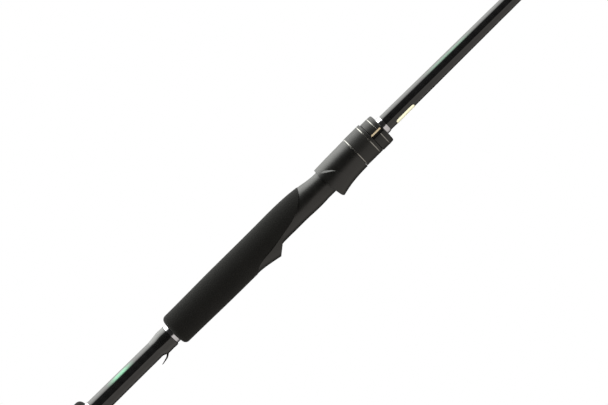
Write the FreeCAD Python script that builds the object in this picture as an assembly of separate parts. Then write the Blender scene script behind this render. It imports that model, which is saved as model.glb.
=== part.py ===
"""Two-piece spinning rod, 2.13 m, as separate named pieces.

+X runs from butt to tip, +Z is up with the reel and the guides hanging on -Z.
The origin is the centre of the butt end face.  Millimetres.
"""
import FreeCAD, Part
import math
import os

os.makedirs("parts", exist_ok=True)

V = FreeCAD.Vector
ORIGIN = V(0, 0, 0)
AXIS = V(1, 0, 0)

# ---------------------------------------------------------------- blanks
BLANK_START = 6.0
FERRULE_START = 1040.0
FERRULE_END = 1115.0
FERRULE_GAP = 0.03
BLANK_END = 2122.0
# (x, outer radius) down the butt section
BUTT_RADII = ((BLANK_START, 7.55), (110.0, 7.35), (166.0, 7.08), (411.0, 6.36),
              (526.0, 5.66), (FERRULE_END, 3.98))
BUTT_WALL = 1.25
BUTT_WALL_END = 0.95
SOCKET_RELIEF = 1.0
# (x, outer radius) down the tip section
TIP_RADII = ((FERRULE_START, 5.20), (1130.0, 4.75), (BLANK_END, 1.00))
TIP_BORE_RADII = ((FERRULE_END + 2.0, 3.70), (1300.0, 3.10), (BLANK_END, 0.40))
# (start, end, rise) of the wraps either side of the ferrule joint
TIP_SIDE_WRAP = (FERRULE_START, FERRULE_START + 34, 0.45)
BUTT_SIDE_WRAP = (FERRULE_START - 30, FERRULE_START - 2, 0.40)

# ----------------------------------------------------------- butt and grips
CAP_LENGTH = 9.0
CAP_R = 12.6
CAP_ROUNDING = 2.0
PLUG_END = 24.0
GRIP_R = 12.8
REAR_GRIP_END = 109.0
REAR_GRIP_ROUNDING = 4.0
REAR_RING_END = 111.4
RING_R = 7.85
GRIP_RING_START = 187.8
# (x, half width, top, bottom) of the wrap over the hook keeper's foot
KEEPER_WRAP = ((172.5, 7.08, 7.08, 7.08), (175.0, 7.25, 7.30, 7.45), (177.5, 7.80, 7.60, 8.40),
               (180.5, 8.20, 8.00, 8.65), (184.0, 8.25, 8.10, 8.60),
               (GRIP_RING_START, 8.15, 8.00, 8.40))
# (x, z, wire radius) from the keeper's foot to the point of its claw
KEEPER_PATH = ((186.0, -7.67, 0.50), (182.0, -7.67, 0.58), (179.0, -7.72, 0.66),
               (177.3, -8.35, 0.72), (176.1, -9.20, 0.68), (174.8, -9.90, 0.60),
               (173.0, -10.40, 0.50), (171.1, -10.85, 0.38), (168.9, -11.05, 0.18))
MAIN_GRIP_START = 191.1
GRIP_CORNER_R = 3.65
GRIP_FRONT = 328.2
TUBE_START = 258.0
# (x, radius) along the main grip, from its rear corner to its nose
GRIP_CONTOUR = ((MAIN_GRIP_START + GRIP_CORNER_R, 12.55), (206.0, 12.62), (218.0, 12.78),
                (240.0, 13.05), (285.0, 13.15), (307.0, 13.30), (317.0, 12.90),
                (326.9, 11.9))
NOSE_ROUNDING = 1.0
# (x, z) of the bowed diagonal joint between grip and reel seat
JOINT_CURVE = ((329.3, 16.0), (327.4, 11.6), (323.7, 6.3), (319.6, 2.6), (313.4, -1.2),
               (306.5, -3.6), (295.7, -5.6), (282.5, -7.9), (268.6, -10.0),
               (264.0, -13.0), (262.0, -18.0))

# ----------------------------------------------------------------- reel seat
TUBE_R = 9.0
TUBE_BORE_R = 7.9
SEAT_END = 399.0
NECK_R = 9.85
SADDLE_DEPTH = 10.0
HOOD_LIP_X = 284.6
HOOD_LIP_Z = -15.8
HOOD_MOUTH_X = 291.7
NECK_START = 330.0
# (x, half width, top, bottom, fullness of the lower half) from tail to neck
SADDLE_FORM = ((261.0, 12.9, 12.9, 10.6, 2.4), (278.0, 13.05, 13.05, 10.2, 2.4),
               (292.0, 13.15, 13.15, SADDLE_DEPTH, 2.4), (304.0, 13.1, 13.1, 9.85, 2.4),
               (312.0, 12.7, 12.8, 9.8, 2.35), (320.0, 12.0, 12.3, 9.9, 2.25),
               (327.0, 11.25, 11.6, 10.15, 2.1), (333.0, 10.6, 10.75, 10.15, 2.0),
               (338.0, 10.1, 10.15, 9.9, 2.0), (342.0, 9.65, 9.65, 9.65, 2.0))
# (x, half width, top, bottom) of the fixed hood, then of the room inside it
FIXED_HOOD_FORM = ((261.0, 12.9, 12.9, 12.75), (265.0, 12.9, 12.9, 12.85),
                   (270.0, 12.9, 12.9, 13.2), (275.0, 12.9, 12.9, 13.95),
                   (280.0, 12.9, 12.9, 14.85), (HOOD_LIP_X, 12.9, 12.9, -HOOD_LIP_Z),
                   (294.0, 12.9, 12.9, 17.6), (304.0, 12.9, 12.9, 19.5))
FIXED_POCKET_FORM = ((272.0, 12.2, 12.2, 12.2), (HOOD_LIP_X, 12.2, 12.2, 14.8),
                     (296.0, 12.2, 12.2, 17.0), (306.0, 12.2, 12.2, 18.8))
FIXED_POCKET_SPAN = (273.5, 305.0)
POCKET_HALF_WIDTH = 9.5
KEY_GROOVE_SPAN = (333.0, 352.5)
ARBOR_STATIONS = (262.0, 305.0, 340.0, 378.0)
ARBOR_LENGTH = 18.0
ARBOR_BORE_R = 3.0
THREAD_START = 356.0
THREAD_END = 388.0
THREAD_PITCH = 2.0
THREAD_ROOT_R = 9.05
THREAD_CREST_R = 9.85
THREAD_FLANK = (0.88, 0.30)
THREAD_RUNOUT = 0.9
THREAD_OVERLAP = 0.35
GROOVE_HALF_WIDTH = 1.8
GROOVE_FLOOR_R = 8.8

# --------------------------------------------------- moving hood and lock nut
HOOD_START = 344.6
HOOD_END = 374.6
HOOD_BORE_R = 10.3
HOOD_LEAD_R = 11.1
HOOD_LEAD_LENGTH = 6.5
# (x, z) of the hood's rear rim seen from the side
HOOD_RIM = ((344.8, 20.0), (344.8, 12.0), (344.4, 7.0), (344.8, 0.0), (345.9, -9.5),
            (346.5, -12.9), (347.2, -15.3), (348.3, -16.4), (350.7, -17.6), (356.0, -20.0))
# (x, z) of the shoulder where the hood's skirt stands out from its barrel
HOOD_SHOULDER = ((343.0, 5.4), (347.6, 5.0), (351.2, 4.1), (354.4, 2.4), (357.0, -0.8),
                 (359.6, -5.6), (361.5, -10.5))
# (x, half width, top, bottom) of the hood's barrel, its skirt and the room inside
HOOD_FORM = ((343.0, 11.7, 11.7, 17.1), (348.1, 11.9, 11.85, 16.3), (353.0, 12.1, 12.05, 15.15),
             (361.0, 12.35, 12.25, 13.85), (368.0, 12.5, 12.35, 13.3),
             (HOOD_END, 12.65, 12.5, 13.15))
SKIRT_FORM = ((343.0, 11.8, 11.8, 16.9), (347.4, 12.45, 12.45, 16.2), (351.0, 12.95, 12.95, 15.5),
              (355.5, 12.8, 12.8, 14.5), (362.0, 12.3, 12.3, 13.4))
HOOD_POCKET_FORM = ((342.0, 12.1, 12.1, 16.2), (348.0, 12.1, 12.1, 15.1),
                    (358.5, 12.1, 12.1, 12.9))
HOOD_POCKET_SPAN = (342.0, 357.5)
# (distance from the rod's middle plane, rise) of the shoulder's inner and outer edge
SHOULDER_SLOPE = ((10.0, 2.0), (14.5, -2.5))
SKIRT_BOTTOM = -25.0
KEY_SPAN = (346.6, 351.0)
KEY_TOP_R = 11.3
HOOD_COUNTERBORE_R = 11.35
HOOD_COUNTERBORE_X = 365.5
RETAIN_R = 11.75
RETAIN_X = 367.6
RETAIN_WIDTH = 2.2
CLEAR = 0.3
NUT_R = 12.7
NUT_START = 375.0
NUT_END = 390.7
NUT_RING_R = 12.78
NUT_RING_WIDTH = 0.8
NUT_RING_DEPTH = 0.5
NUT_FRONT_RING_X = 387.6
NUT_LIP_WIDTH = 1.2
NUT_LIP_R = 10.2
NUT_CORE_R = 11.0
NUT_MAJOR_R = 10.05
NUT_MINOR_R = 9.25
NUT_TURNS = 4
NUT_FLANK = (0.86, 0.24)
# pitches from the start of the seat thread to the nut's, on the half for clearance
NUT_THREAD_OFFSET = 10.5

# ------------------------------------------------------------- front collar
COLLAR_START = 391.0
COLLAR_END = 401.4
COLLAR_R = 12.25
COLLAR_DROP = 0.7
COLLAR_RING_X = 397.0
COLLAR_RING_WIDTH = 0.7
COLLAR_RING_R = 12.37
COLLAR_RING_DEPTH = 0.5
SLOT_LOW = -2.8
SLOT_HIGH = 0.85
SLOT_DEPTH = 2.0
STRIP_HEIGHT = 1.2
STRIP_THICKNESS = 1.4
STRIP_INSET = 0.1
STRIP_SHORT = 1.6
FRONT_RING_END = 405.0
FRONT_RING_R = 6.8

# ------------------------------------------------------------------- guides
# proportions of every guide, as multiples of its drop, ring wall or wire radius
LEG_REACH = 0.62
LEG_CLEAR = 1.1
LEG_SPREAD_DEG = 58
FOOT_THICKNESS = 0.8
FOOT_HALF_WIDTH = 1.7
FOOT_POINT = 0.35
SEAT_IN_BAND = 0.82
BAND_WALL = 0.42
WRAP_RISE = 0.35
WRAP_PAST_FOOT = 2.5
WRAP_EDGE = 1.6
WRAP_ROUNDING = 1.5
# name, x, ring bore, ring wall, axis drop, foot length, wire radius, feet
GUIDES = (
    ("guide_1", 950.0, 20.4, 2.2, 30.0, 24.0, 1.10, 2),
    ("guide_2", 1250.0, 12.6, 1.7, 20.0, 18.0, 0.90, 2),
    ("guide_3", 1460.0, 7.8, 1.3, 13.5, 14.0, 0.75, 2),
    ("guide_4", 1635.0, 6.4, 1.0, 10.0, 11.0, 0.60, 1),
    ("guide_5", 1785.0, 6.2, 0.9, 8.8, 10.0, 0.55, 1),
    ("guide_6", 1915.0, 6.0, 0.9, 8.2, 9.0, 0.50, 1),
    ("guide_7", 2030.0, 6.0, 0.9, 7.8, 9.0, 0.50, 1),
)
TOP_X = 2132.4
TOP_DROP = 6.4
TOP_BORE = 6.0
TOP_WALL = 0.9
TOP_TUBE_R = 1.75
TOP_TUBE_LENGTH = 11.0
TOP_WRAP_LENGTH = 6.0
STAY_R = 0.5


def rounded_face(points):
    """Face in the XZ plane; every point is (x, z, corner radius)."""
    edges = []
    ends = []
    count = len(points)
    for i in range(count):
        before = V(points[i - 1][0], 0, points[i - 1][1])
        corner = V(points[i][0], 0, points[i][1])
        after = V(points[(i + 1) % count][0], 0, points[(i + 1) % count][1])
        radius = points[i][2]
        start = corner
        end = corner
        if radius > 0:
            back = (before - corner).normalize()
            ahead = (after - corner).normalize()
            half = back.getAngle(ahead) / 2
            bisector = (back + ahead).normalize()
            start = corner + back * (radius / math.tan(half))
            end = corner + ahead * (radius / math.tan(half))
            middle = corner + bisector * (radius / math.sin(half) - radius)
            edges.append(Part.Arc(start, middle, end).toShape())
        ends.append((start, end))
    for i in range(count):
        edges.append(Part.makeLine(ends[i - 1][1], ends[i][0]))
    return Part.Face(Part.Wire(Part.__sortEdges__(edges)))


def turned(points):
    """Solid turned about the rod axis from (x, radius) or (x, radius, rounding)."""
    full = [tuple(p) + (0,) * (3 - len(p)) for p in points]
    return rounded_face(full).revolve(ORIGIN, AXIS, 360)


def turned_solid(stations):
    """Solid bar whose radius follows the stations."""
    first = stations[0][0]
    last = stations[-1][0]
    return turned([(first, 0)] + list(stations) + [(last, 0)])


def tube(x0, x1, outer, inner):
    """Plain ring or sleeve."""
    return turned([(x0, inner), (x0, outer), (x1, outer), (x1, inner)])


def slab(x0, x1, y_half, z0, z1):
    """Box centred on the XZ plane."""
    return Part.makeBox(x1 - x0, 2 * y_half, z1 - z0, V(x0, -y_half, z0))


def radius_at(stations, x):
    """Radius between stations by straight taper."""
    for (xa, ra), (xb, rb) in zip(stations, stations[1:]):
        if x <= xb:
            return ra + (rb - ra) * (x - xa) / (xb - xa)
    return stations[-1][1]


def section(x, half_width, top, bottom, power=2.0):
    """Closed egg-shaped section; the lower half is fuller as power rises."""
    steps = 32
    points = []
    for i in range(steps):
        angle = 2 * math.pi * i / steps
        c = math.cos(angle)
        s = math.sin(angle)
        if s >= 0:
            points.append(V(x, half_width * c, top * s))
        else:
            y = half_width * math.copysign(abs(c) ** (2 / power), c)
            points.append(V(x, y, -bottom * abs(s) ** (2 / power)))
    curve = Part.BSplineCurve()
    curve.interpolate(Points=points, PeriodicFlag=True)
    return Part.Wire(curve.toShape())


def lofted(sections):
    """Smooth solid through sections given as tuples for section()."""
    return Part.makeLoft([section(*s) for s in sections], True, False)


def side_region(points, curve_points=()):
    """Prism across Y whose side outline is a spline followed by straight lines."""
    edges = []
    corners = [V(x, 0, z) for x, z in points]
    if curve_points:
        nodes = [V(x, 0, z) for x, z in curve_points]
        curve = Part.BSplineCurve()
        curve.interpolate(nodes)
        edges.append(curve.toShape())
        corners = [nodes[-1]] + corners + [nodes[0]]
    else:
        corners = corners + [corners[0]]
    for a, b in zip(corners, corners[1:]):
        edges.append(Part.makeLine(a, b))
    face = Part.Face(Part.Wire(edges))
    face.translate(V(0, -30, 0))
    return face.extrude(V(0, 60, 0))


def thread_ridge(start, length, base_r, crest_r, base_half, crest_half):
    """Helical ridge about the rod axis, right hand."""
    helix = Part.makeHelix(THREAD_PITCH, length, base_r)
    corners = [V(base_r, 0, -base_half), V(crest_r, 0, -crest_half),
               V(crest_r, 0, crest_half), V(base_r, 0, base_half)]
    outline = Part.makePolygon(corners + [corners[0]])
    ridge = Part.Wire(helix.Edges).makePipeShell([outline], True, True)
    ridge.rotate(ORIGIN, V(0, 1, 0), 90)
    ridge.translate(V(start, 0, 0))
    return ridge


def bent_wire(poles, radius):
    """Round wire along a Bezier curve, which never passes outside its poles."""
    nodes = [V(*p) for p in poles]
    curve = Part.BezierCurve()
    curve.setPoles(nodes)
    spine = Part.Wire(curve.toShape())
    outline = Part.Wire(Part.makeCircle(radius, nodes[0], nodes[1] - nodes[0]))
    return spine.makePipeShell([outline], True, True)


def fuse(shapes):
    """Union of a list of shapes."""
    first, *rest = shapes
    return first.fuse(rest).removeSplitter()


def save(name, shape):
    """Write one sub-part."""
    if not shape.isValid():
        print("INVALID", name)
    print(f"{name:22s} solids {len(shape.Solids)} volume {shape.Volume:10.1f}")
    shape.exportStep(f"parts/{name}.step")


def make_blanks():
    """The two tapered tubes, joined by a put-over ferrule."""
    butt_bore = [(x, r - BUTT_WALL) for x, r in BUTT_RADII[:-1]]
    butt_bore.append((FERRULE_END, BUTT_RADII[-1][1] - BUTT_WALL_END))
    butt = turned_solid(BUTT_RADII).cut(turned_solid(butt_bore))
    socket = [(FERRULE_START, radius_at(BUTT_RADII, FERRULE_START) + FERRULE_GAP),
              (FERRULE_END + SOCKET_RELIEF, BUTT_RADII[-1][1] + FERRULE_GAP)]
    tip = turned_solid(TIP_RADII).cut(turned_solid(socket)).cut(turned_solid(TIP_BORE_RADII))
    throat = turned_solid([(FERRULE_END, TIP_BORE_RADII[0][1]), TIP_BORE_RADII[0]])
    tip = tip.cut(throat)
    save("butt_blank", butt)
    save("tip_blank", tip)


def make_butt_end(blank):
    """Rubber cap with its plug, and the straight rear grip."""
    bore_r = BUTT_RADII[0][1] - BUTT_WALL
    cap = turned([(0, 0), (0, CAP_R, CAP_ROUNDING), (CAP_LENGTH, CAP_R), (CAP_LENGTH, 0)])
    cap = cap.cut(blank)
    plug = turned([(BLANK_START, 0), (BLANK_START, bore_r - 0.1), (PLUG_END, bore_r - 0.4),
                   (PLUG_END, 0)])
    save("butt_cap", fuse([cap, plug]))
    grip = turned([(CAP_LENGTH, 0), (CAP_LENGTH, GRIP_R, 0.6),
                   (REAR_GRIP_END, GRIP_R, REAR_GRIP_ROUNDING), (REAR_GRIP_END, 0)])
    save("rear_grip", grip.cut(blank))
    ring = turned([(REAR_GRIP_END, 0), (REAR_GRIP_END, RING_R), (REAR_RING_END, RING_R, 0.35),
                   (REAR_RING_END, 0)])
    save("rear_grip_ring", ring.cut(blank))


def make_keeper(blank):
    """Claw-shaped hook keeper and the wrap that binds its foot."""
    nodes = [V(x, 0, z) for x, z, radius in KEEPER_PATH]
    curve = Part.BSplineCurve()
    curve.interpolate(nodes)
    outlines = []
    for node, (x, z, radius) in zip(nodes, KEEPER_PATH):
        tangent = curve.tangent(curve.parameter(node))[0]
        outlines.append(Part.Wire(Part.makeCircle(radius, node, tangent)))
    keeper = Part.makeLoft(outlines, True, False).cut(blank)
    wrap = lofted(KEEPER_WRAP).cut(blank).cut(keeper)
    save("hook_keeper", keeper)
    save("keeper_wrap", wrap)


def grip_form():
    """Outer form of the main grip before the diagonal joint is cut."""
    curve = Part.BSplineCurve()
    curve.interpolate([V(x, 0, r) for x, r in GRIP_CONTOUR])
    x0, r0 = GRIP_CONTOUR[0]
    x1, r1 = GRIP_CONTOUR[-1]
    nose = Part.Arc(V(x1, 0, r1), V(GRIP_FRONT - 0.35, 0, r1 - 0.42),
                    V(GRIP_FRONT, 0, r1 - NOSE_ROUNDING)).toShape()
    low = r0 - GRIP_CORNER_R
    inset = GRIP_CORNER_R * (1 - math.sqrt(0.5))
    corner = Part.Arc(V(MAIN_GRIP_START, 0, low), V(MAIN_GRIP_START + inset, 0, r0 - inset),
                      V(x0, 0, r0)).toShape()
    edges = [Part.makeLine(V(MAIN_GRIP_START, 0, 0), V(MAIN_GRIP_START, 0, low)),
             corner,
             curve.toShape(),
             nose,
             Part.makeLine(V(GRIP_FRONT, 0, r1 - NOSE_ROUNDING), V(GRIP_FRONT, 0, 0)),
             Part.makeLine(V(GRIP_FRONT, 0, 0), V(MAIN_GRIP_START, 0, 0))]
    return Part.Face(Part.Wire(edges)).revolve(ORIGIN, AXIS, 360)


def seat_region():
    """Everything ahead of the diagonal joint, as a prism."""
    return side_region([(440, -18), (440, 16)], JOINT_CURVE)


def fixed_hood():
    """Wedge-shaped rear hood with its pocket left solid."""
    outer = lofted(FIXED_HOOD_FORM)
    slope = (-SADDLE_DEPTH - HOOD_LIP_Z) / (HOOD_MOUTH_X - HOOD_LIP_X)
    rear = TUBE_START - 2
    low_z = -22.0
    high_z = -3.0
    wedge = side_region([(rear, low_z), (HOOD_LIP_X + (low_z - HOOD_LIP_Z) / slope, low_z),
                         (HOOD_LIP_X + (high_z - HOOD_LIP_Z) / slope, high_z),
                         (rear, high_z)])
    return outer.common(wedge).common(seat_region())


def hood_pocket(sections, x0, x1):
    """Room for a reel foot between the saddle and a hood."""
    return lofted(sections).common(slab(x0, x1, POCKET_HALF_WIDTH, -25, -4))


def seat_tube():
    """Core tube of the reel seat with its threaded front end, not yet bored."""
    tail = turned([(THREAD_START - 1.0, 0), (THREAD_START - 1.0, THREAD_ROOT_R),
                   (SEAT_END, THREAD_ROOT_R), (SEAT_END, 0)])
    ridge = thread_ridge(THREAD_START + THREAD_RUNOUT,
                         THREAD_END - THREAD_START - 2 * THREAD_RUNOUT,
                         THREAD_ROOT_R - THREAD_OVERLAP, THREAD_CREST_R, *THREAD_FLANK)
    front = turned([(TUBE_START, 0), (TUBE_START, TUBE_R), (NECK_START, TUBE_R),
                    (NECK_START, NECK_R), (THREAD_START - 1.0, NECK_R),
                    (THREAD_START - 1.0, 0)])
    return front.fuse(tail.fuse(ridge))


def make_seat(blank):
    """Reel seat body with fixed hood, saddle, neck and thread; grip and arbors."""
    ahead = seat_region()
    pocket = hood_pocket(FIXED_POCKET_FORM, *FIXED_POCKET_SPAN)
    saddle = lofted(SADDLE_FORM).common(ahead).fuse(fixed_hood().cut(pocket))
    groove = slab(*KEY_GROOVE_SPAN, GROOVE_HALF_WIDTH, GROOVE_FLOOR_R, 15)
    bore = tube(TUBE_START - 8, SEAT_END + 11, TUBE_BORE_R, 0)
    body = seat_tube().fuse(saddle).cut(groove).cut(bore)
    save("reel_seat_body", body)
    tube_room = tube(TUBE_START, NECK_START + 10, TUBE_R, 0)
    save("main_grip", grip_form().cut(ahead).cut(tube_room).cut(blank))
    ring = turned([(GRIP_RING_START, 0), (GRIP_RING_START, RING_R, 0.5),
                   (MAIN_GRIP_START, RING_R, 0.5), (MAIN_GRIP_START, 0)])
    save("grip_ring", ring.cut(blank))
    arbors = [tube(x, x + ARBOR_LENGTH, TUBE_BORE_R, ARBOR_BORE_R).cut(blank)
              for x in ARBOR_STATIONS]
    save("seat_arbors", Part.makeCompound(arbors))


def skirt_side(side):
    """One side of the hood below its shoulder, whose top slopes outwards and down."""
    wires = []
    for y, shift in SHOULDER_SLOPE:
        nodes = [V(x, side * y, z + shift) for x, z in HOOD_SHOULDER]
        curve = Part.BSplineCurve()
        curve.interpolate(nodes)
        low = [V(nodes[-1].x, side * y, SKIRT_BOTTOM), V(nodes[0].x, side * y, SKIRT_BOTTOM)]
        corners = [nodes[-1]] + low + [nodes[0]]
        lines = [Part.makeLine(a, b) for a, b in zip(corners, corners[1:])]
        wires.append(Part.Wire([curve.toShape()] + lines))
    return Part.makeLoft(wires, True, True)


def make_hood():
    """Sliding hood with its pocket, key and room for the nut."""
    flare = lofted(SKIRT_FORM)
    mouth = side_region([(380.0, -20.0), (380.0, 20.0)], HOOD_RIM)
    shell = lofted(HOOD_FORM)
    for side in (-1, 1):
        shell = shell.fuse(flare.common(skirt_side(side)))
    shell = shell.common(mouth)
    room = hood_pocket(HOOD_POCKET_FORM, *HOOD_POCKET_SPAN)
    inner = turned([(HOOD_START - 4, 0), (HOOD_START - 4, HOOD_LEAD_R), (HOOD_START, HOOD_LEAD_R),
                    (HOOD_START + HOOD_LEAD_LENGTH, HOOD_BORE_R),
                    (HOOD_COUNTERBORE_X, HOOD_BORE_R),
                    (HOOD_COUNTERBORE_X, HOOD_COUNTERBORE_R),
                    (RETAIN_X, HOOD_COUNTERBORE_R), (RETAIN_X, RETAIN_R),
                    (RETAIN_X + RETAIN_WIDTH, RETAIN_R),
                    (RETAIN_X + RETAIN_WIDTH, HOOD_COUNTERBORE_R),
                    (HOOD_END + 1, HOOD_COUNTERBORE_R), (HOOD_END + 1, 0)])
    key = slab(*KEY_SPAN, GROOVE_HALF_WIDTH - CLEAR, GROOVE_FLOOR_R + CLEAR, KEY_TOP_R)
    hood = shell.cut(room).cut(inner).fuse(key).removeSplitter()
    save("sliding_hood", hood)


def make_nut():
    """Lock nut: threaded core held in the hood, sleeve and two trim rings."""
    lip_x = RETAIN_X + CLEAR
    lip_end = RETAIN_X + RETAIN_WIDTH - CLEAR
    core = turned([(HOOD_COUNTERBORE_X + CLEAR, NUT_MAJOR_R),
                   (HOOD_COUNTERBORE_X + CLEAR, NUT_CORE_R, 0.2),
                   (lip_x, NUT_CORE_R), (lip_x, RETAIN_R - CLEAR),
                   (lip_end, RETAIN_R - CLEAR), (lip_end, NUT_CORE_R),
                   (NUT_END - NUT_LIP_WIDTH, NUT_CORE_R), (NUT_END - NUT_LIP_WIDTH, NUT_MAJOR_R)])
    ridge_start = THREAD_START + THREAD_RUNOUT + NUT_THREAD_OFFSET * THREAD_PITCH
    ridge = thread_ridge(ridge_start, NUT_TURNS * THREAD_PITCH, NUT_MAJOR_R + THREAD_OVERLAP,
                         NUT_MINOR_R, *NUT_FLANK)
    save("nut_core", core.fuse(ridge))
    rear_end = NUT_START + NUT_RING_WIDTH
    front_end = NUT_FRONT_RING_X + NUT_RING_WIDTH
    groove_r = NUT_R - NUT_RING_DEPTH
    sleeve = turned([(rear_end, NUT_CORE_R), (rear_end, NUT_R), (NUT_FRONT_RING_X, NUT_R),
                     (NUT_FRONT_RING_X, groove_r), (front_end, groove_r), (front_end, NUT_R),
                     (NUT_END, NUT_R, 0.4), (NUT_END, NUT_LIP_R),
                     (NUT_END - NUT_LIP_WIDTH, NUT_LIP_R),
                     (NUT_END - NUT_LIP_WIDTH, NUT_CORE_R)])
    save("nut_sleeve", sleeve)
    rear = turned([(NUT_START, NUT_CORE_R), (NUT_START, NUT_RING_R, 0.25),
                   (rear_end, NUT_RING_R, 0.25), (rear_end, NUT_CORE_R)])
    save("nut_rear_ring", rear)
    front = turned([(NUT_FRONT_RING_X, groove_r), (NUT_FRONT_RING_X, NUT_RING_R, 0.2),
                    (front_end, NUT_RING_R, 0.2), (front_end, groove_r)])
    save("nut_front_ring", front)


def make_collar(blank):
    """Fixed front collar with its slot, inlay strip, trim ring and front ring."""
    down = V(0, 0, -COLLAR_DROP)
    ring_end = COLLAR_RING_X + COLLAR_RING_WIDTH
    groove_r = COLLAR_R - COLLAR_RING_DEPTH
    collar = turned([(COLLAR_START, 0), (COLLAR_START, COLLAR_R, 0.3),
                     (COLLAR_RING_X, COLLAR_R), (COLLAR_RING_X, groove_r),
                     (ring_end, groove_r), (ring_end, COLLAR_R),
                     (COLLAR_END, COLLAR_R - 0.2, 1.3), (COLLAR_END, 0)])
    collar.translate(down)
    seat_room = tube(COLLAR_START - 11, SEAT_END, THREAD_ROOT_R, 0)
    slot = Part.makeBox(COLLAR_END - COLLAR_START + 4, SLOT_DEPTH + 1, SLOT_HIGH - SLOT_LOW,
                        V(COLLAR_START - 2, -COLLAR_R - 1, SLOT_LOW))
    save("front_collar", collar.cut(seat_room).cut(blank).cut(slot))
    strip = Part.makeBox(COLLAR_END - COLLAR_START - STRIP_SHORT, STRIP_THICKNESS, STRIP_HEIGHT,
                         V(COLLAR_START + STRIP_INSET,
                           -COLLAR_R + SLOT_DEPTH - STRIP_THICKNESS,
                           SLOT_HIGH - STRIP_HEIGHT))
    save("collar_strip", strip)
    ring = turned([(COLLAR_RING_X, groove_r), (COLLAR_RING_X, COLLAR_RING_R, 0.2),
                   (ring_end, COLLAR_RING_R, 0.2), (ring_end, groove_r)])
    ring.translate(down)
    save("collar_ring", ring.cut(slot))
    front = turned([(COLLAR_END, 0), (COLLAR_END, FRONT_RING_R), (404.0, FRONT_RING_R, 0.3),
                    (FRONT_RING_END, FRONT_RING_R - 0.3), (FRONT_RING_END, 0)])
    save("front_ring", front.cut(blank))


def wrap_barrel(stations, x0, x1, rise):
    """Thread wrap with rounded ends on a blank."""
    points = [(x0, 0), (x0, radius_at(stations, x0) + 0.05),
              (x0 + WRAP_EDGE, radius_at(stations, x0 + WRAP_EDGE) + rise, WRAP_ROUNDING),
              (x1 - WRAP_EDGE, radius_at(stations, x1 - WRAP_EDGE) + rise, WRAP_ROUNDING),
              (x1, radius_at(stations, x1) + 0.05), (x1, 0)]
    return turned(points)


def foot(stations, x0, x1, half_width, thick):
    """Flat tapered guide foot on the underside of a blank, root at x0."""
    za = -radius_at(stations, x0)
    zb = -radius_at(stations, x1)
    point = half_width * FOOT_POINT
    thin = thick * FOOT_POINT
    corners = [V(x0, -half_width, za + 1), V(x0, half_width, za + 1),
               V(x1, point, zb + 1), V(x1, -point, zb + 1)]
    top = Part.makePolygon(corners + [corners[0]])
    low = [V(x0, -half_width, za - thick), V(x0, half_width, za - thick),
           V(x1, point, zb - thin), V(x1, -point, zb - thin)]
    bottom = Part.makePolygon(low + [low[0]])
    return Part.makeLoft([top, bottom], True, True)


def ring_set(x, drop, bore, wall):
    """Ceramic ring and the metal band round it, centred at (x, 0, -drop)."""
    band_in = bore / 2 + wall * SEAT_IN_BAND
    band_out = band_in + max(0.5, wall * BAND_WALL)
    half = max(0.6, wall * BAND_WALL)
    ring = Part.makeTorus(bore / 2 + wall / 2, wall / 2, V(x, 0, -drop), AXIS)
    flat = Part.makeCylinder(bore / 2 + wall + 1, 2, V(x - 1, 0, -drop), AXIS)
    flat = flat.cut(Part.makeCylinder(band_in, 2, V(x - 1, 0, -drop), AXIS))
    ring = ring.cut(flat)
    band = Part.makeCylinder(band_out, 2 * half, V(x - half, 0, -drop), AXIS)
    band = band.cut(Part.makeCylinder(band_in, 2 * half, V(x - half, 0, -drop), AXIS))
    return ring, band, band_out


def make_guide(name, stations, solid, x, bore, wall, drop, foot_length, wire_r, feet):
    """Line guide: frame, ceramic ring and its wraps."""
    ring, band, out_r = ring_set(x, drop, bore, wall)
    reach = drop * LEG_REACH
    thick = wire_r * FOOT_THICKNESS
    half = wire_r * FOOT_HALF_WIDTH
    front_x = x + reach
    base = -(radius_at(stations, front_x) + wire_r * LEG_CLEAR)
    spread = math.radians(LEG_SPREAD_DEG)
    weld_r = out_r + wire_r * 0.3
    legs = []
    for side in (-1, 1):
        y = side * weld_r * math.sin(spread)
        z = -drop + weld_r * math.cos(spread)
        poles = ((x, y, z), (x + reach * 0.5, y * 0.6, z + (base - z) * 0.65),
                 (front_x - 1.5, side * wire_r, base), (front_x + 3.0, side * wire_r * 0.9, base))
        legs.append(bent_wire(poles, wire_r))
    feet_solids = [foot(stations, front_x - 1.5, front_x + foot_length, half, thick)]
    wraps = [(front_x + 2.0, front_x + foot_length + WRAP_PAST_FOOT)]
    if feet == 2:
        rear_x = x - reach * 0.95
        low = -(radius_at(stations, rear_x - 3.0) + wire_r * LEG_CLEAR)
        top_z = -drop + out_r
        poles = ((x, 0, top_z + wire_r * 0.3),
                 (x - reach * 0.5, 0, top_z + (low - top_z) * 0.65),
                 (rear_x + 1.5, 0, low), (rear_x - 3.0, 0, low))
        legs.append(bent_wire(poles, wire_r))
        feet_solids.append(foot(stations, rear_x + 1.5, rear_x - foot_length, half, thick))
        wraps.append((rear_x - foot_length - WRAP_PAST_FOOT, rear_x - 2.0))
    inside = Part.makeCylinder(out_r - 0.2, 30, V(x - 15, 0, -drop), AXIS)
    legs = [leg.cut(inside) for leg in legs]
    feet_solids = [piece.cut(solid) for piece in feet_solids]
    frame = fuse([band] + legs + feet_solids)
    save(name + "_frame", frame)
    save(name + "_ring", ring)
    covers = []
    for x0, x1 in wraps:
        barrel = wrap_barrel(stations, x0, x1, thick + WRAP_RISE)
        covers.append(barrel.cut(solid).cut(frame))
    save(name + "_wraps", Part.makeCompound(covers))


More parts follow.
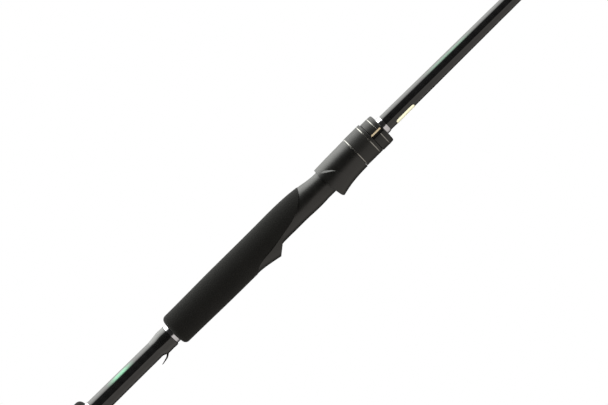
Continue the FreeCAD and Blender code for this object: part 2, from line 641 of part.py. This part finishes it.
def make_tip_top(solid):
    """Tip-top: tube over the blank, ring, two stays and a small wrap."""
    ring, band, out_r = ring_set(TOP_X, TOP_DROP, TOP_BORE, TOP_WALL)
    tube_x = BLANK_END - TOP_TUBE_LENGTH
    sleeve = turned([(tube_x, 0), (tube_x, TOP_TUBE_R, 0.2),
                     (BLANK_END + 2, TOP_TUBE_R, 0.6), (BLANK_END + 2, 0)])
    pieces = [band]
    for side in (-1, 1):
        y = side * out_r * 0.8
        z = -TOP_DROP + out_r * 0.6
        poles = ((TOP_X, y, z), (TOP_X - 5.5, y * 0.62, z + 1.2),
                 (BLANK_END - 1.5, side * 1.15, -0.5), (BLANK_END - 6.0, side * 1.05, -0.5))
        stay = bent_wire(poles, STAY_R)
        inside = Part.makeCylinder(out_r - 0.2, 6, V(TOP_X - 3, 0, -TOP_DROP), AXIS)
        pieces.append(stay.cut(inside))
    frame = fuse(pieces + [sleeve]).cut(solid)
    save("tip_top_frame", frame)
    save("tip_top_ring", ring)
    wrap = wrap_barrel(TIP_RADII, tube_x - TOP_WRAP_LENGTH, tube_x, 0.5)
    save("tip_top_wrap", wrap.cut(solid))


def make_ferrule_wraps(butt_solid, tip_solid):
    """Reinforcing wraps either side of the ferrule joint."""
    tip_wrap = wrap_barrel(TIP_RADII, *TIP_SIDE_WRAP)
    save("ferrule_wrap", tip_wrap.cut(tip_solid))
    butt_wrap = wrap_barrel(BUTT_RADII, *BUTT_SIDE_WRAP)
    save("butt_section_wrap", butt_wrap.cut(butt_solid))


def main():
    """Build and save every piece."""
    butt_solid = turned_solid(BUTT_RADII)
    tip_solid = turned_solid(TIP_RADII)
    make_blanks()
    make_butt_end(butt_solid)
    make_keeper(butt_solid)
    make_seat(butt_solid)
    make_hood()
    make_nut()
    make_collar(butt_solid)
    make_ferrule_wraps(butt_solid, tip_solid)
    for name, *numbers in GUIDES:
        stations = BUTT_RADII if name == "guide_1" else TIP_RADII
        solid = butt_solid if name == "guide_1" else tip_solid
        make_guide(name, stations, solid, *numbers)
    make_tip_top(tip_solid)


main()
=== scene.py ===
import math

import bmesh
import bpy
from mathutils import Matrix, Vector


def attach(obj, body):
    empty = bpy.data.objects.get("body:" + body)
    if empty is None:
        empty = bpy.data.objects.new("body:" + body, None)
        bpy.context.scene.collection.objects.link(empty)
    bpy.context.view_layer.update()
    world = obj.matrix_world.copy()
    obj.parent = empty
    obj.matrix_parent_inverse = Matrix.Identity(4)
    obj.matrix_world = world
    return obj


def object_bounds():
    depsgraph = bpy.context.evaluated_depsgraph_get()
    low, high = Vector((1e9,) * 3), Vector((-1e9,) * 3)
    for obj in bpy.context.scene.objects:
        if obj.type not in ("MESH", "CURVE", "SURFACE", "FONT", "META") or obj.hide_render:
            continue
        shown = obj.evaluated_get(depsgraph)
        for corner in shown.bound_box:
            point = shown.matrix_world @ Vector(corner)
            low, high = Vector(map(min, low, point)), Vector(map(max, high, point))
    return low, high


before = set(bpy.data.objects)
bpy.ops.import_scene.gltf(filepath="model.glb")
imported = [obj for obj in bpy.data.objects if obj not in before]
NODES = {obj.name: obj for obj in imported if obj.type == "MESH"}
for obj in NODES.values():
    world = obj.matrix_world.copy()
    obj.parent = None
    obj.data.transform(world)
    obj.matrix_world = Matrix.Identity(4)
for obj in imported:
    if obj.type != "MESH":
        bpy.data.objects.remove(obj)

CAD_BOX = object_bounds()
MM = 0.001
SCENE = bpy.context.scene

# --------------------------------------------------------------- the view
ROLL_DEG = 44.56
LOOK_AT = Vector((0.3235, 0.0, 0.0004))
CAMERA_DISTANCE = 2.0
VIEW_WIDTH = 0.438
SENSOR_WIDTH = 36.0
CLIP_END = 50.0
SHARP_DEG = 32.0

# -------------------------------------------------------------- the floor
FLOOR_Z = -0.45
FLOOR_MARGIN = 0.9
FLOOR_COLOURS = ((0.275, 0.275, 0.272), (0.290, 0.290, 0.286))

# ---------------------------------------------------- light round the rod
# (angle from -Y towards +Z in degrees, radiance) of strips that run along X
STRIPS = ((-180, 0.02), (-142, 0.02), (-124, 0.30), (-110, 0.65), (-96, 0.90), (-60, 0.92),
          (-40, 1.00), (-24, 1.10), (-18, 0.03), (63, 0.03), (70, 3.0), (79, 5.2), (92, 6.2),
          (108, 5.6), (120, 4.4), (131, 3.2), (141, 2.2), (150, 1.5), (160, 0.9), (172, 0.5),
          (180, 0.02))
# extra soft light that only diffuse surfaces receive
FILL = ((-180, 0.7), (-110, 0.7), (30, 1.0), (80, 0.2), (180, 0.7))
# radiance that a full ramp stands for
STRIP_PEAK = 10.0
# colour of the light, slightly warm from below
LOW_TINT = (1.06, 1.0, 0.93)
HIGH_TINT = (0.99, 1.0, 0.96)
TINT = ((-180, LOW_TINT), (-20, LOW_TINT), (60, HIGH_TINT), (180, HIGH_TINT))

# --------------------------------------------------------- foam and wraps
# darkest and lightest colour
FOAM_COLOURS = ((0.0025, 0.0025, 0.0023), (0.0088, 0.0088, 0.0082))
WRAP_COLOURS = ((0.0015, 0.0015, 0.0015), (0.011, 0.011, 0.0112))
THREAD_WIDTH = 0.22 * MM

# --------------------------------------------------- the blank, its label
BLANK_COLOURS = ((0.002, 0.002, 0.0022), (0.010, 0.010, 0.0105))
# the cloth's spiral, in radians for each metre
CLOTH_TWIST = 900.0
ACCENT_GREEN = (0.024, 0.125, 0.064, 1.0)
# (start, end, soft end, strength, lowest z over radius, highest z over radius)
ACCENTS = ((129 * MM, 157 * MM, 10 * MM, 0.85, 0.50, 0.97),
           (446 * MM, 498 * MM, 14 * MM, 0.40, 0.50, 0.90))
ACCENT_SIDE_SOFTNESS = 0.12
# (x, radius) of the blank on either side of the label
BLANK_TAPER = ((411 * MM, 6.36 * MM), (526 * MM, 5.66 * MM))
LABEL_COLOURS = ((0.80, 0.80, 0.58), (0.87, 0.87, 0.66))
LABEL = (411.7 * MM, 429.3 * MM)
LABEL_HALF_ANGLE = 49.0
LABEL_LIFT = 0.06 * MM
LABEL_THICKNESS = 0.05 * MM
LABEL_STEPS_X = 26
LABEL_STEPS_ROUND = 24
# shares of the label's length and half width that its rounded corners take
CORNER_LENGTH = 0.16
CORNER_WIDTH = 0.22

# -------------------------------------------- plastics, metals, who has them
# (material, colour, roughness, grain depth in mm, gloss, CAD nodes)
PLASTICS = (
    ("seat_plastic", (0.004, 0.004, 0.0036), 0.37, 0.02, 0.43,
     ["reel_seat_body", "sliding_hood"]),
    ("nut_plastic", (0.009, 0.009, 0.0085), 0.46, 0.02, 0.29, ["nut_sleeve", "front_collar"]),
    ("butt_rubber", (0.016, 0.016, 0.016), 0.62, 0.05, 0.5, ["butt_cap"]),
    ("guide_ceramic", (0.030, 0.030, 0.034), 0.10, 0.002, 0.5,
     [name for name in NODES if name.startswith(("guide", "tip_top")) and name.endswith("_ring")]),
    ("collar_inlay", (0.56, 0.47, 0.31), 0.5, 0.02, 0.5, ["collar_strip"]),
    ("nut_core", (0.030, 0.030, 0.030), 0.45, 0.02, 0.5, ["nut_core"]),
    ("arbor", (0.30, 0.29, 0.27), 0.8, 0.1, 0.5, ["seat_arbors"]),
)
# (material, colour, roughness, CAD nodes)
METALS = (
    ("silver_ring", (0.50, 0.50, 0.53), 0.16, ["rear_grip_ring", "grip_ring", "front_ring"]),
    ("silver_line", (0.26, 0.255, 0.24), 0.30,
     ["nut_rear_ring", "nut_front_ring", "collar_ring"]),
    ("guide_frame", (0.10, 0.10, 0.105), 0.20,
     [name for name in NODES if name.endswith("_frame")]),
    ("keeper_wire", (0.055, 0.055, 0.055), 0.30, ["hook_keeper"]),
)


# ----------------------------------------------------------- shader helpers
def feed(tree, target, inputs):
    """Link a node's inputs to sockets or set them to values, by name or number."""
    for key, value in inputs.items():
        if isinstance(value, bpy.types.NodeSocket):
            tree.links.new(value, target.inputs[key])
        else:
            target.inputs[key].default_value = value


def node(tree, kind, inputs=None, **settings):
    """Add a shader node with its settings and inputs."""
    new = tree.nodes.new(kind)
    for key, value in settings.items():
        setattr(new, key, value)
    feed(tree, new, inputs or {})
    return new


def maths(tree, operation, a, b=0.0, clamp=False):
    """One arithmetic node; returns its result."""
    return node(tree, "ShaderNodeMath", {0: a, 1: b}, operation=operation,
                use_clamp=clamp).outputs[0]


def times(tree, a, b):
    """Product of two values."""
    return maths(tree, "MULTIPLY", a, b)


def plus(tree, a, b, clamp=False):
    """Sum of two values, kept within 0..1 if clamped."""
    return maths(tree, "ADD", a, b, clamp)


def ramp(tree, factor, stops):
    """Colour ramp through (position, colour or grey) stops; returns its colour."""
    new = node(tree, "ShaderNodeValToRGB", {0: factor})
    elements = new.color_ramp.elements
    elements[0].position = stops[0][0]
    elements[-1].position = stops[-1][0]
    for position, colour in stops[1:-1]:
        elements.new(position)
    for element, (position, colour) in zip(elements, stops):
        grey = (colour,) * 3 if isinstance(colour, (int, float)) else colour
        element.color = (*grey, 1.0)
    return new.outputs[0]


def mixed(tree, factor, colours):
    """Colour between a dark and a light one."""
    dark, light = colours
    return node(tree, "ShaderNodeMix", {0: factor, 6: (*dark, 1.0), 7: (*light, 1.0)},
                data_type="RGBA").outputs[2]


def uneven(tree, value, low, high):
    """Roughness from low to high, following the middle of a noise value."""
    return ramp(tree, value, ((0.3, low), (0.7, high)))


def place_xyz(tree):
    """Place on the rod in metres; returns x, y and z."""
    coords = node(tree, "ShaderNodeTexCoord").outputs["Object"]
    return node(tree, "ShaderNodeSeparateXYZ", {0: coords}).outputs


def place(tree, scale=(1.0, 1.0, 1.0)):
    """Place on the rod in metres as one vector, stretched by scale."""
    coords = node(tree, "ShaderNodeTexCoord").outputs["Object"]
    return node(tree, "ShaderNodeMapping", {"Vector": coords, "Scale": scale}).outputs[0]


def noise(tree, vector, scale, detail=2.0, roughness=0.5):
    """Noise value."""
    return node(tree, "ShaderNodeTexNoise", {"Vector": vector, "Scale": scale,
                "Detail": detail, "Roughness": roughness}).outputs[0]


def bump(tree, height, depth_mm, strength):
    """Bump from a 0..1 height, with its real depth."""
    return node(tree, "ShaderNodeBump", {"Height": height, "Distance": depth_mm * MM,
                "Strength": strength}).outputs[0]


def band_mask(tree, value, low, high, soft):
    """1 where the value is between low and high, with soft ends."""
    rise = maths(tree, "DIVIDE", maths(tree, "SUBTRACT", value, low), soft, True)
    fall = maths(tree, "DIVIDE", maths(tree, "SUBTRACT", high, value), soft, True)
    return times(tree, rise, fall)


def new_material(name):
    """Node material with one shader; returns the material, its tree and the shader."""
    material = bpy.data.materials.new(name)
    material.use_nodes = True
    tree = material.node_tree
    tree.nodes.clear()
    output = tree.nodes.new("ShaderNodeOutputMaterial")
    shader = tree.nodes.new("ShaderNodeBsdfPrincipled")
    tree.links.new(shader.outputs[0], output.inputs[0])
    return material, tree, shader


# ---------------------------------------------------------------- materials
def foam_material():
    """Fine-cell moulded foam of the grips."""
    material, tree, shader = new_material("grip_foam")
    point = place(tree)
    cells = node(tree, "ShaderNodeTexVoronoi", {"Vector": point, "Scale": 1500.0}).outputs[0]
    fine = noise(tree, point, scale=5200.0, detail=3.0, roughness=0.6)
    patches = noise(tree, point, scale=70.0, detail=3.0)
    height = plus(tree, times(tree, cells, 0.7), times(tree, fine, 0.5))
    # tone follows the cells like the bump does, so the colour is darker in the cell pits and
    # lighter on the cell walls: painted shade in the pits; the broad patches are the foam's own
    # uneven tone
    tone = plus(tree, times(tree, cells, 0.55), times(tree, patches, 0.45), clamp=True)
    feed(tree, shader, {
        "Base Color": mixed(tree, tone, FOAM_COLOURS),
        "Roughness": uneven(tree, fine, 0.78, 0.98),
        "Specular IOR Level": 0.10,
        "Sheen Weight": 0.035,
        "Sheen Roughness": 0.45,
        "Normal": bump(tree, height, depth_mm=0.22, strength=0.8),
    })
    return material


def satin_material(name, colour, rough, grain, gloss):
    """Moulded plastic with a fine satin grain."""
    material, tree, shader = new_material(name)
    point = place(tree)
    fine = noise(tree, point, scale=4200.0)
    broad = noise(tree, point, scale=160.0, detail=3.0)
    shades = [[c * factor for c in colour] for factor in (0.8, 1.2)]
    feed(tree, shader, {
        "Base Color": mixed(tree, broad, shades),
        "Roughness": uneven(tree, broad, rough - 0.03, rough + 0.03),
        "Specular IOR Level": gloss,
        "Normal": bump(tree, fine, depth_mm=grain, strength=0.6),
    })
    return material


def metal_material(name, colour, rough):
    """Polished turned metal with faint lathe lines round the axis."""
    material, tree, shader = new_material(name)
    turned = noise(tree, place(tree, scale=(1.0, 0.02, 0.02)), scale=9000.0)
    smear = noise(tree, place(tree), scale=220.0, detail=3.0)
    shades = [[c * factor for c in colour] for factor in (0.9, 1.0)]
    feed(tree, shader, {
        "Base Color": mixed(tree, smear, shades),
        "Metallic": 1.0,
        "Roughness": uneven(tree, turned, rough * 0.8, rough * 1.25),
        "Normal": bump(tree, turned, depth_mm=0.004, strength=0.5),
    })
    return material


def green_patches(tree, x, y, z):
    """How green the blank is: two soft patches on its upper side."""
    radius = maths(tree, "SQRT", plus(tree, times(tree, y, y), times(tree, z, z)))
    height = maths(tree, "DIVIDE", z, radius)
    patches = []
    for start, end, soft, strength, low, high in ACCENTS:
        patch = times(tree, band_mask(tree, x, start, end, soft),
                      band_mask(tree, height, low, high, ACCENT_SIDE_SOFTNESS))
        patches.append(times(tree, patch, strength))
    return maths(tree, "MAXIMUM", *patches)


def blank_material():
    """Graphite cloth under a glossy clear coat, with two green accents on top."""
    material, tree, shader = new_material("blank")
    x, y, z = place_xyz(tree)
    fibres = noise(tree, place(tree, scale=(1.0, 22.0, 22.0)), scale=160.0, detail=4.0,
                   roughness=0.6)
    angle = maths(tree, "ARCTAN2", y, z)
    spiral = maths(tree, "SINE", plus(tree, times(tree, x, CLOTH_TWIST), angle))
    tone = plus(tree, fibres, times(tree, spiral, 0.08), clamp=True)
    green = green_patches(tree, x, y, z)
    cloth = mixed(tree, tone, BLANK_COLOURS)
    painted = node(tree, "ShaderNodeMix", {0: green, 6: cloth, 7: ACCENT_GREEN},
                   data_type="RGBA").outputs[2]
    feed(tree, shader, {
        "Base Color": painted,
        "Metallic": green,
        "Roughness": 0.25,
        "Specular IOR Level": 0.0,
        "Coat Weight": 0.95,
        "Coat Roughness": 0.03,
        "Normal": bump(tree, tone, depth_mm=0.006, strength=0.3),
    })
    return material


def wrap_material():
    """Black thread laid side by side under clear epoxy."""
    material, tree, shader = new_material("thread_wrap")
    x = place_xyz(tree)["X"]
    thread = maths(tree, "SINE", times(tree, x, 2 * math.pi / THREAD_WIDTH))
    height = plus(tree, times(tree, thread, 0.5), 0.5)
    fibres = noise(tree, place(tree, scale=(1.0, 0.2, 0.2)), scale=2600.0)
    sag = noise(tree, place(tree), scale=130.0, detail=1.0)
    feed(tree, shader, {
        # base colour follows the thread bump height, darkest in the grooves between threads and
        # lighter on their crowns: painted shade in the grooves; the fibre noise on the crowns is
        # the thread's own tone
        "Base Color": mixed(tree, times(tree, height, fibres), WRAP_COLOURS),
        "Roughness": 0.35,
        "Specular IOR Level": 0.06,
        "Coat Weight": 1.0,
        "Coat Roughness": 0.04,
        "Normal": bump(tree, height, depth_mm=0.03, strength=0.5),
        "Coat Normal": bump(tree, sag, depth_mm=0.06, strength=0.3),
    })
    return material


def label_material():
    """Cream label, a little pearly, under the clear coat."""
    material, tree, shader = new_material("label_cream")
    paper = noise(tree, place(tree), scale=900.0)
    feed(tree, shader, {
        "Base Color": mixed(tree, paper, LABEL_COLOURS),
        "Roughness": 0.35,
        "Metallic": 0.2,
        "Coat Weight": 1.0,
        "Coat Roughness": 0.05,
        "Normal": bump(tree, paper, depth_mm=0.004, strength=0.3),
    })
    return material


# -------------------------------------------------------------- the CAD nodes
def smooth_nodes():
    """Shade every CAD node smoothly, with its real corners kept sharp."""
    for piece in NODES.values():
        for polygon in piece.data.polygons:
            polygon.use_smooth = True
        piece.data.set_sharp_from_angle(angle=math.radians(SHARP_DEG))


def assign(material, names):
    """Give CAD nodes a material."""
    for name in names:
        mesh = NODES[name].data
        for i in range(len(mesh.materials)):
            mesh.materials[i] = material


def paint():
    """One material for every CAD node."""
    for name, colour, rough, grain, gloss, nodes in PLASTICS:
        assign(satin_material(name, colour, rough, grain, gloss), nodes)
    for name, colour, rough, nodes in METALS:
        assign(metal_material(name, colour, rough), nodes)
    assign(blank_material(), ["butt_blank", "tip_blank"])
    assign(foam_material(), ["main_grip", "rear_grip"])
    assign(wrap_material(), [name for name in NODES if "wrap" in name])


# ------------------------------------------------------------------ the label
def blank_radius(x):
    """Radius of the blank's tapered surface at a station near the label."""
    (x0, r0), (x1, r1) = BLANK_TAPER
    return r0 + (r1 - r0) * (x - x0) / (x1 - x0)


def corner_inset(u):
    """Share of the half width lost at u, 0 to 1 along the label, to its rounded corners."""
    edge = min(u, 1 - u)
    if edge >= CORNER_LENGTH:
        return 0.0
    return (1 - math.sqrt(1 - (1 - edge / CORNER_LENGTH) ** 2)) * CORNER_WIDTH


def label_mesh():
    """The label's outer face, wrapped round the reel side of the blank."""
    x0, x1 = LABEL
    half = math.radians(LABEL_HALF_ANGLE)
    bm = bmesh.new()
    rows = []
    for i in range(LABEL_STEPS_X + 1):
        u = i / LABEL_STEPS_X
        x = x0 + (x1 - x0) * u
        r = blank_radius(x) + LABEL_LIFT
        spread = half * (1 - corner_inset(u))
        row = []
        for j in range(LABEL_STEPS_ROUND + 1):
            a = -math.pi / 2 + spread * (2 * j / LABEL_STEPS_ROUND - 1)
            row.append(bm.verts.new((x, r * math.cos(a), r * math.sin(a))))
        rows.append(row)
    for low, high in zip(rows, rows[1:]):
        for j in range(LABEL_STEPS_ROUND):
            face = bm.faces.new((low[j], low[j + 1], high[j + 1], high[j]))
            face.smooth = True
    mesh = bpy.data.meshes.new("blank_label")
    bm.to_mesh(mesh)
    bm.free()
    mesh.materials.append(label_material())
    return mesh


def make_label():
    """Cream label on the blank; it moves with the rod."""
    label = bpy.data.objects.new("blank_label", label_mesh())
    SCENE.collection.objects.link(label)
    skin = label.modifiers.new("thickness", "SOLIDIFY")
    skin.thickness = LABEL_THICKNESS
    skin.offset = -1.0
    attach(label, "rod")


# ------------------------------------------------------------------ the stage
def around(angle):
    """Place of an angle in degrees on a ramp that spans one turn."""
    return (angle + 180) / 360


def strip_ramp(tree, factor, strips):
    """Radiance round the rod as a share of the peak."""
    return ramp(tree, factor, [(around(a), level / STRIP_PEAK) for a, level in strips])


def world_light():
    """White to the camera; long strips along X for light and reflections."""
    world = bpy.data.worlds.new("studio")
    SCENE.world = world
    world.use_nodes = True
    tree = world.node_tree
    tree.nodes.clear()
    direction = node(tree, "ShaderNodeTexCoord").outputs["Generated"]
    parts = node(tree, "ShaderNodeSeparateXYZ", {0: direction}).outputs
    angle = maths(tree, "ARCTAN2", parts["Z"], times(tree, parts["Y"], -1.0))
    factor = plus(tree, maths(tree, "DIVIDE", angle, 2 * math.pi), 0.5)
    path = node(tree, "ShaderNodeLightPath").outputs
    soft = times(tree, strip_ramp(tree, factor, FILL), path["Is Diffuse Ray"])
    level = plus(tree, strip_ramp(tree, factor, STRIPS), soft)
    tint = ramp(tree, factor, [(around(a), colour) for a, colour in TINT])
    colour = node(tree, "ShaderNodeVectorMath", {0: tint, "Scale": level},
                  operation="SCALE").outputs[0]
    lit = node(tree, "ShaderNodeBackground", {0: colour, 1: STRIP_PEAK}).outputs[0]
    seen = node(tree, "ShaderNodeBackground", {0: (1, 1, 1, 1), 1: 1.0}).outputs[0]
    both = node(tree, "ShaderNodeMixShader", {0: path["Is Camera Ray"], 1: lit, 2: seen})
    node(tree, "ShaderNodeOutputWorld", {0: both.outputs[0]})


def make_floor():
    """Plain pale floor below the rod; it lights and mirrors nothing."""
    mesh = bpy.data.meshes.new("floor")
    low, high = CAD_BOX
    x0, x1 = low[0] - FLOOR_MARGIN, high[0] + FLOOR_MARGIN
    corners = [(x0, -FLOOR_MARGIN, FLOOR_Z), (x1, -FLOOR_MARGIN, FLOOR_Z),
               (x1, FLOOR_MARGIN, FLOOR_Z), (x0, FLOOR_MARGIN, FLOOR_Z)]
    mesh.from_pydata(corners, [], [(0, 1, 2, 3)])
    floor = bpy.data.objects.new("floor", mesh)
    SCENE.collection.objects.link(floor)
    material, tree, shader = new_material("floor")
    grain = noise(tree, place(tree), scale=30.0, detail=4.0)
    feed(tree, shader, {"Base Color": mixed(tree, grain, FLOOR_COLOURS), "Roughness": 0.9})
    mesh.materials.append(material)
    floor.visible_glossy = False
    floor.visible_diffuse = False
    floor.visible_shadow = False


def make_camera():
    """Side view along +Y, rolled so that the rod climbs to the upper right."""
    data = bpy.data.cameras.new("camera")
    data.sensor_width = SENSOR_WIDTH
    data.sensor_fit = "HORIZONTAL"
    data.lens = SENSOR_WIDTH * CAMERA_DISTANCE / VIEW_WIDTH
    data.clip_end = CLIP_END
    camera = bpy.data.objects.new("camera", data)
    SCENE.collection.objects.link(camera)
    roll = math.radians(ROLL_DEG)
    right = Vector((math.cos(roll), 0.0, -math.sin(roll)))
    up = Vector((math.sin(roll), 0.0, math.cos(roll)))
    back = Vector((0.0, -1.0, 0.0))
    rotation = Matrix((right, up, back)).transposed().to_4x4()
    camera.matrix_world = Matrix.Translation(LOOK_AT + back * CAMERA_DISTANCE) @ rotation
    SCENE.camera = camera
    SCENE.view_settings.view_transform = "Standard"
    SCENE.view_settings.look = "None"


make_camera()
world_light()
make_floor()
smooth_nodes()
paint()
make_label()
